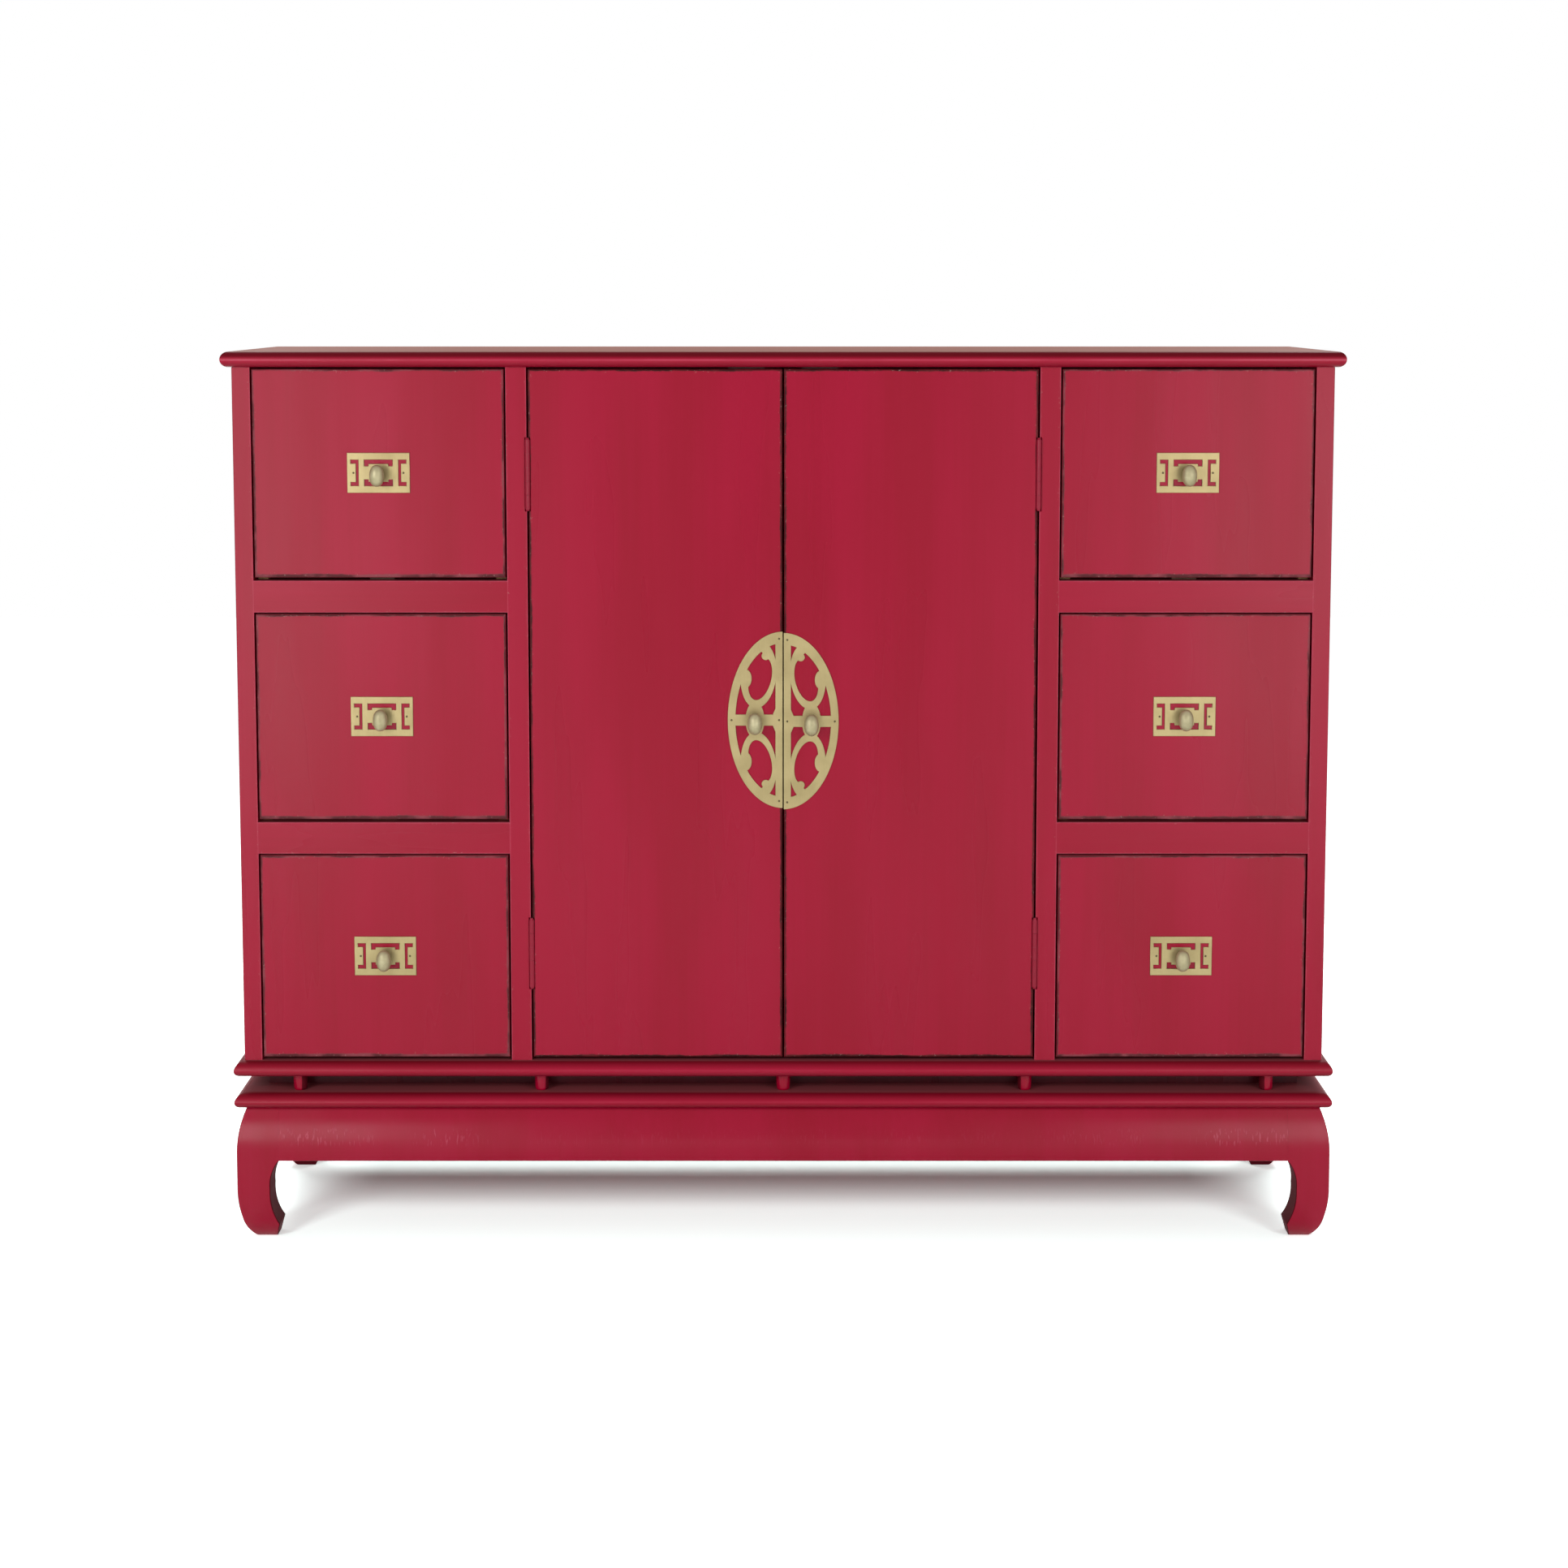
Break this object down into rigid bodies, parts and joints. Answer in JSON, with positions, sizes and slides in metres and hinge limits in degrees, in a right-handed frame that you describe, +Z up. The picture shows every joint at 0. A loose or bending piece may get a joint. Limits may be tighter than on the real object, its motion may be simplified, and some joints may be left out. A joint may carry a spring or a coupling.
{
  "type": "sideboard",
  "caption": "Lacquered sideboard: drawers beside a hinged-door cupboard, pierced brass pulls, set on a moulded stand with inward-curling feet.",
  "frame": {"origin": "centre of the overall box on the floor, knobs included", "axes": "+X to the right along the front, +Y from the front to the back, +Z up; the front looks along -Y"},
  "size_m": [1.362, 0.3876, 1.104],
  "materials": {
    "red_lacquer": "satin red lacquer over cloth-textured ground on wood, dark antiqued wear at the edges",
    "carcass_wood": "plain sanded wood, unseen carcass pieces",
    "drawer_wood": "plain sanded drawer stock",
    "brass_plate": "brushed pale brass sheet, pierced and nailed on",
    "brass_knob": "turned and polished pale brass",
    "painted_hinge": "steel butt hinge lacquered over with the case",
    "catch_plastic": "dark moulded magnetic catch",
    "strike_steel": "plated steel strike plate"
  },
  "bodies": {
    "case": {"top_board": "red_lacquer", "plinth_board": "red_lacquer", "stand_board": "red_lacquer", "left_side_panel": "red_lacquer", "right_side_panel": "red_lacquer", "left_partition": "red_lacquer", "right_partition": "red_lacquer", "back_panel": "carcass_wood", "drawer_rails": "red_lacquer", "drawer_runners": "carcass_wood", "drawer_stops": "carcass_wood", "cupboard_shelf": "carcass_wood", "shelf_cleats": "carcass_wood", "door_catches": "catch_plastic", "waist_boards": "red_lacquer", "waist_pegs": "red_lacquer", "front_left_leg": "red_lacquer", "front_right_leg": "red_lacquer", "back_left_leg": "red_lacquer", "back_right_leg": "red_lacquer", "front_apron": "red_lacquer", "back_apron": "red_lacquer", "side_aprons": "red_lacquer", "corner_blocks": "carcass_wood", "case_hinge_leaves": "painted_hinge", "hinge_pins": "painted_hinge"},
    "left_door": {"left_door_panel": "red_lacquer", "left_door_plate": "brass_plate", "left_door_knob": "brass_knob", "left_door_hinge_leaves": "painted_hinge", "left_door_strike": "strike_steel"},
    "right_door": {"right_door_panel": "red_lacquer", "right_door_plate": "brass_plate", "right_door_knob": "brass_knob", "right_door_hinge_leaves": "painted_hinge", "right_door_strike": "strike_steel"},
    "left_top_drawer": {"left_top_drawer_front": "red_lacquer", "left_top_drawer_box": "drawer_wood", "left_top_drawer_plate": "brass_plate", "left_top_drawer_knob": "brass_knob"},
    "left_middle_drawer": {"left_middle_drawer_front": "red_lacquer", "left_middle_drawer_box": "drawer_wood", "left_middle_drawer_plate": "brass_plate", "left_middle_drawer_knob": "brass_knob"},
    "left_bottom_drawer": {"left_bottom_drawer_front": "red_lacquer", "left_bottom_drawer_box": "drawer_wood", "left_bottom_drawer_plate": "brass_plate", "left_bottom_drawer_knob": "brass_knob"},
    "right_top_drawer": {"right_top_drawer_front": "red_lacquer", "right_top_drawer_box": "drawer_wood", "right_top_drawer_plate": "brass_plate", "right_top_drawer_knob": "brass_knob"},
    "right_middle_drawer": {"right_middle_drawer_front": "red_lacquer", "right_middle_drawer_box": "drawer_wood", "right_middle_drawer_plate": "brass_plate", "right_middle_drawer_knob": "brass_knob"},
    "right_bottom_drawer": {"right_bottom_drawer_front": "red_lacquer", "right_bottom_drawer_box": "drawer_wood", "right_bottom_drawer_plate": "brass_plate", "right_bottom_drawer_knob": "brass_knob"}
  },
  "joints": [
    {"name": "left_door_hinge", "type": "hinge", "parent": "case", "child": "left_door", "pos_m": [-0.3109, -0.167, 0.656], "axis": [0, 0, 1], "range_deg": [-165, 0]},
    {"name": "right_door_hinge", "type": "hinge", "parent": "case", "child": "right_door", "pos_m": [0.3109, -0.167, 0.656], "axis": [0, 0, -1], "range_deg": [-165, 0]},
    {"name": "left_top_drawer_slide", "type": "slide", "parent": "case", "child": "left_top_drawer", "axis": [0, -1, 0], "range_m": [0, 0.24]},
    {"name": "left_middle_drawer_slide", "type": "slide", "parent": "case", "child": "left_middle_drawer", "axis": [0, -1, 0], "range_m": [0, 0.24]},
    {"name": "left_bottom_drawer_slide", "type": "slide", "parent": "case", "child": "left_bottom_drawer", "axis": [0, -1, 0], "range_m": [0, 0.24]},
    {"name": "right_top_drawer_slide", "type": "slide", "parent": "case", "child": "right_top_drawer", "axis": [0, -1, 0], "range_m": [0, 0.24]},
    {"name": "right_middle_drawer_slide", "type": "slide", "parent": "case", "child": "right_middle_drawer", "axis": [0, -1, 0], "range_m": [0, 0.24]},
    {"name": "right_bottom_drawer_slide", "type": "slide", "parent": "case", "child": "right_bottom_drawer", "axis": [0, -1, 0], "range_m": [0, 0.24]}
  ]
}
